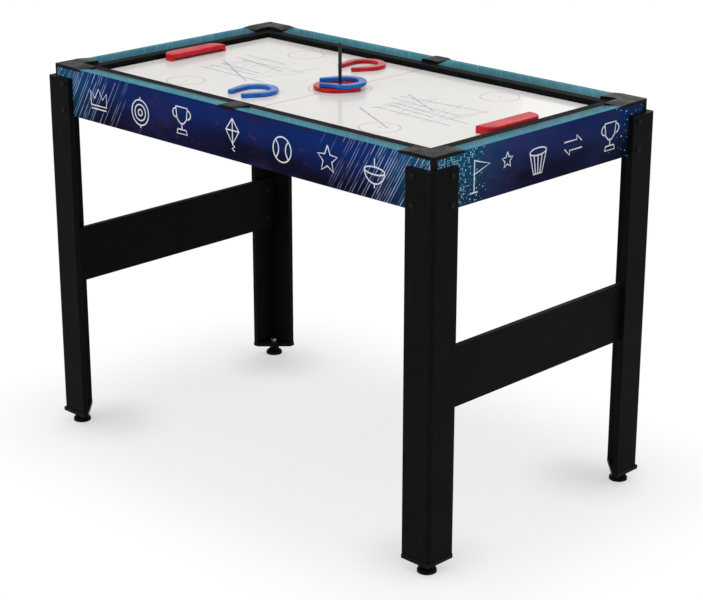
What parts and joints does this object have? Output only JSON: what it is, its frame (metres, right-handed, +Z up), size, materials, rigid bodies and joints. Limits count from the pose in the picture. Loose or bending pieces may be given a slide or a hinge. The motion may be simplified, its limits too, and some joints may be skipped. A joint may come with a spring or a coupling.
{
  "type": "multi game table",
  "caption": "Free-standing game table: a railed play box with a drop-in board on legs with levelling feet, with low goals, a stake and throwing horseshoes.",
  "frame": {"origin": "on the floor, under the middle of the table", "axes": "+X along the table to its right end, +Y across it to the back, +Z up"},
  "size_m": [1.076, 0.63, 0.8636],
  "materials": {
    "apron_print": "satin printed foil on board",
    "rail_teal": "satin printed foil on board",
    "bumper_black": "matt",
    "cap_black": "semi gloss moulded",
    "raw_board": "bare fibreboard",
    "cleat_wood": "sawn softwood",
    "field_white": "gloss white laminate on board",
    "leg_black": "satin black foil on board",
    "bracket_zinc": "zinc plated",
    "plate_black": "moulded",
    "foot_black": "moulded",
    "zinc_fasteners": "zinc plated",
    "bolt_black": "black plated",
    "goal_red": "gloss moulded",
    "stake_black": "gloss moulded",
    "shoe_red": "gloss moulded",
    "shoe_blue": "gloss moulded"
  },
  "bodies": {
    "frame": {"front_apron": "apron_print", "back_apron": "apron_print", "left_apron": "apron_print", "right_apron": "apron_print", "front_left_rail": "rail_teal", "front_right_rail": "rail_teal", "back_left_rail": "rail_teal", "back_right_rail": "rail_teal", "left_rail": "rail_teal", "right_rail": "rail_teal", "front_bumper": "bumper_black", "back_bumper": "bumper_black", "left_bumper": "bumper_black", "right_bumper": "bumper_black", "front_left_corner_cap": "cap_black", "front_right_corner_cap": "cap_black", "back_left_corner_cap": "cap_black", "back_right_corner_cap": "cap_black", "front_middle_cap": "cap_black", "back_middle_cap": "cap_black", "bed_panel": "raw_board", "front_cleat": "cleat_wood", "back_cleat": "cleat_wood", "left_cleat": "cleat_wood", "right_cleat": "cleat_wood", "front_left_leg": "leg_black", "front_right_leg": "leg_black", "back_left_leg": "leg_black", "back_right_leg": "leg_black", "left_stretcher": "leg_black", "right_stretcher": "leg_black", "front_left_bracket": "bracket_zinc", "front_right_bracket": "bracket_zinc", "back_left_bracket": "bracket_zinc", "back_right_bracket": "bracket_zinc", "front_left_leg_plate": "plate_black", "front_right_leg_plate": "plate_black", "back_left_leg_plate": "plate_black", "back_right_leg_plate": "plate_black", "foot_nuts": "zinc_fasteners", "leg_nuts": "zinc_fasteners", "bed_screws": "zinc_fasteners", "cleat_screws": "zinc_fasteners", "apron_screws": "zinc_fasteners", "plate_screws": "zinc_fasteners", "stretcher_screws": "zinc_fasteners", "leg_bolts": "bolt_black"},
    "front_left_foot": {"front_left_foot": "foot_black"},
    "front_right_foot": {"front_right_foot": "foot_black"},
    "back_left_foot": {"back_left_foot": "foot_black"},
    "back_right_foot": {"back_right_foot": "foot_black"},
    "playing_board": {"field_board": "field_white"},
    "left_goal": {"left_goal": "goal_red"},
    "right_goal": {"right_goal": "goal_red"},
    "stake": {"stake_base": "stake_black", "stake_rod": "stake_black"},
    "lower_horseshoe": {"stack_red_horseshoe": "shoe_red"},
    "upper_horseshoe": {"stack_blue_horseshoe": "shoe_blue"},
    "blue_horseshoe": {"loose_blue_horseshoe": "shoe_blue"},
    "red_horseshoe": {"loose_red_horseshoe": "shoe_red"}
  },
  "joints": [
    {"name": "front_left_foot_height", "type": "slide", "parent": "frame", "child": "front_left_foot", "axis": [0, 0, 1], "range_m": [-0.006, 0.006]},
    {"name": "front_right_foot_height", "type": "slide", "parent": "frame", "child": "front_right_foot", "axis": [0, 0, 1], "range_m": [-0.006, 0.006]},
    {"name": "back_left_foot_height", "type": "slide", "parent": "frame", "child": "back_left_foot", "axis": [0, 0, 1], "range_m": [-0.006, 0.006]},
    {"name": "back_right_foot_height", "type": "slide", "parent": "frame", "child": "back_right_foot", "axis": [0, 0, 1], "range_m": [-0.006, 0.006]},
    {"name": "board_lift", "type": "slide", "parent": "frame", "child": "playing_board", "axis": [0, 0, 1], "range_m": [0, 0.12]},
    {"name": "left_goal_lift", "type": "slide", "parent": "playing_board", "child": "left_goal", "axis": [0, 0, 1], "range_m": [0, 0.06]},
    {"name": "right_goal_lift", "type": "slide", "parent": "playing_board", "child": "right_goal", "axis": [0, 0, 1], "range_m": [0, 0.06]},
    {"name": "stake_lift", "type": "slide", "parent": "playing_board", "child": "stake", "axis": [0, 0, 1], "range_m": [0, 0.12]},
    {"name": "lower_horseshoe_lift", "type": "slide", "parent": "playing_board", "child": "lower_horseshoe", "axis": [0, 0, 1], "range_m": [0, 0.11]},
    {"name": "upper_horseshoe_lift", "type": "slide", "parent": "lower_horseshoe", "child": "upper_horseshoe", "axis": [0, 0, 1], "range_m": [0, 0.11]},
    {"name": "blue_horseshoe_lift", "type": "slide", "parent": "playing_board", "child": "blue_horseshoe", "axis": [0, 0, 1], "range_m": [0, 0.06]},
    {"name": "red_horseshoe_lift", "type": "slide", "parent": "playing_board", "child": "red_horseshoe", "axis": [0, 0, 1], "range_m": [0, 0.06]}
  ]
}
